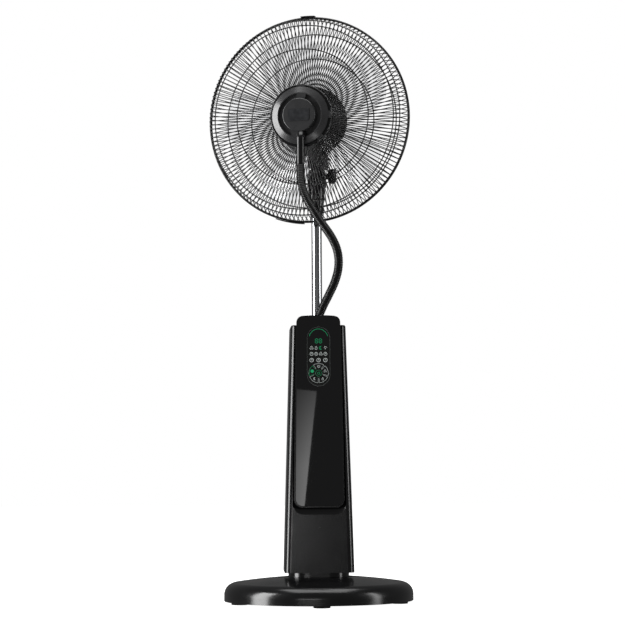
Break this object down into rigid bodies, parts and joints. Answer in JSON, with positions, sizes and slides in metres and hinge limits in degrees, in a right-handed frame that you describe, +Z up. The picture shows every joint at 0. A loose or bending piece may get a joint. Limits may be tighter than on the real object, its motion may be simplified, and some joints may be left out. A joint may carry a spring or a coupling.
{
  "type": "misting pedestal fan",
  "caption": "Misting pedestal fan: domed round base, tapering control tower with rear water tank, chrome pole, tilting and swinging wire-caged head, ribbed mist hose.",
  "frame": {"origin": "on the floor, under the middle of the round base", "axes": "+Z up along the pole, the tower's control panel faces -Y, +X to the viewer's right; the head rests swung 17 degrees to the viewer's left"},
  "size_m": [0.438, 0.41, 1.2707],
  "materials": {
    "black_abs": "moulded, satin to gloss",
    "panel_gloss": "high-gloss face",
    "smoke_lens": "polished",
    "grille_wire": "black enamel",
    "chrome_tube": "polished",
    "cast_weight": "as cast",
    "zinc_steel": "zinc plated",
    "foot_rubber": "matte",
    "hose_rubber": "ribbed, satin",
    "blade_smoke": "smoke tinted",
    "nozzle_gloss": "satin gloss",
    "inner_plastic": "moulded, unpainted",
    "tank_clear": "smoke tinted",
    "board": "solder mask",
    "motor_steel": "laminated",
    "shaft_steel": "ground",
    "white_acetal": "moulded",
    "badge_metal": "satin"
  },
  "bodies": {
    "stand": {"base_cover": "black_abs", "base_weight": "cast_weight", "base_tray": "inner_plastic", "rubber_feet": "foot_rubber", "base_fasteners": "zinc_steel", "plinth": "black_abs", "support_tube": "zinc_steel", "front_housing": "black_abs", "rear_housing": "black_abs", "housing_screws": "zinc_steel", "top_cap": "black_abs", "front_panel": "panel_gloss", "panel_lens": "smoke_lens", "control_board": "board", "indicator_lens": "smoke_lens", "hose_socket": "black_abs", "mist_duct": "inner_plastic", "mist_chamber": "inner_plastic", "chamber_lid": "inner_plastic", "atomiser": "badge_metal", "blower_housing": "inner_plastic", "power_board": "board", "cord_gland": "foot_rubber", "pole": "chrome_tube", "neck_socket": "black_abs", "hose_lower": "hose_rubber"},
    "tank": {"water_tank": "tank_clear", "tank_valve": "foot_rubber"},
    "filler_cap": {"tank_cap": "black_abs"},
    "blower_wheel": {"blower_impeller": "white_acetal"},
    "neck": {"swivel_bush": "white_acetal", "neck_housing": "black_abs", "swing_motor": "motor_steel", "tilt_bolt": "zinc_steel"},
    "swing_gear": {"swing_pinion": "white_acetal"},
    "knob": {"tilt_knob": "black_abs"},
    "head": {"motor_bracket": "black_abs", "motor_front_cover": "black_abs", "motor_rear_cover": "black_abs", "stator": "motor_steel", "motor_bearings": "shaft_steel", "rear_grille": "grille_wire", "grille_nut": "black_abs", "front_grille": "grille_wire", "rim_clips": "black_abs", "front_hub_plate": "black_abs", "mist_disc": "nozzle_gloss", "nozzle_cap": "nozzle_gloss", "badge_plate": "badge_metal", "down_pipe": "black_abs", "hose_upper": "hose_rubber"},
    "fan": {"motor_rotor": "shaft_steel", "fan_blade": "blade_smoke", "blade_nut": "black_abs"},
    "key_top": {"key_top": "smoke_lens"},
    "key_left": {"key_left": "smoke_lens"},
    "key_lower_left": {"key_lower_left": "smoke_lens"},
    "key_lower_right": {"key_lower_right": "smoke_lens"},
    "key_right": {"key_right": "smoke_lens"},
    "power_key": {"power_key": "smoke_lens"}
  },
  "joints": [
    {"name": "swing", "type": "hinge", "parent": "stand", "child": "neck", "pos_m": [0, 0, 0.88], "axis": [0, 0, 1], "range_deg": [-23, 57], "deforming": ["hose_lower"]},
    {"name": "swing_gear_turn", "type": "hinge", "parent": "neck", "child": "swing_gear", "pos_m": [0.00304, 0.00995, 0.889], "axis": [0, 0, 1], "range_deg": [-52, 129]},
    {"name": "tilt", "type": "hinge", "parent": "neck", "child": "head", "pos_m": [0.00175, 0.00574, 0.927], "axis": [0.9563, -0.2924, 0], "range_deg": [-20, 10], "deforming": ["hose_upper"]},
    {"name": "knob_turn", "type": "hinge", "parent": "neck", "child": "knob", "pos_m": [0.00175, 0.00574, 0.927], "axis": [0.9563, -0.2924, 0], "range_deg": [0, 270]},
    {"name": "fan_spin", "type": "hinge", "parent": "head", "child": "fan", "pos_m": [-0.01754, -0.05738, 1.044], "axis": [-0.2924, -0.9563, 0], "continuous": true},
    {"name": "blower_spin", "type": "hinge", "parent": "stand", "child": "blower_wheel", "pos_m": [-0.033, -0.024, 0.178], "axis": [1, 0, 0], "continuous": true},
    {"name": "tank_slide", "type": "slide", "parent": "stand", "child": "tank", "axis": [0, 1, 0], "range_m": [0, 0.12]},
    {"name": "filler_cap_turn", "type": "hinge", "parent": "tank", "child": "filler_cap", "pos_m": [0, 0.0639, 0.475], "axis": [0, 0, 1], "range_deg": [0, 90]},
    {"name": "key_top_press", "type": "slide", "parent": "stand", "child": "key_top", "axis": [0, 1, 0], "range_m": [0, 0.0007], "stiffness_N_per_m": 900},
    {"name": "key_left_press", "type": "slide", "parent": "stand", "child": "key_left", "axis": [0, 1, 0], "range_m": [0, 0.0007], "stiffness_N_per_m": 900},
    {"name": "key_lower_left_press", "type": "slide", "parent": "stand", "child": "key_lower_left", "axis": [0, 1, 0], "range_m": [0, 0.0007], "stiffness_N_per_m": 900},
    {"name": "key_lower_right_press", "type": "slide", "parent": "stand", "child": "key_lower_right", "axis": [0, 1, 0], "range_m": [0, 0.0007], "stiffness_N_per_m": 900},
    {"name": "key_right_press", "type": "slide", "parent": "stand", "child": "key_right", "axis": [0, 1, 0], "range_m": [0, 0.0007], "stiffness_N_per_m": 900},
    {"name": "power_key_press", "type": "slide", "parent": "stand", "child": "power_key", "axis": [0, 1, 0], "range_m": [0, 0.0007], "stiffness_N_per_m": 900}
  ],
  "couplings": [
    {"joint": "swing_gear_turn", "follows": "swing", "ratio": 2.25}
  ]
}
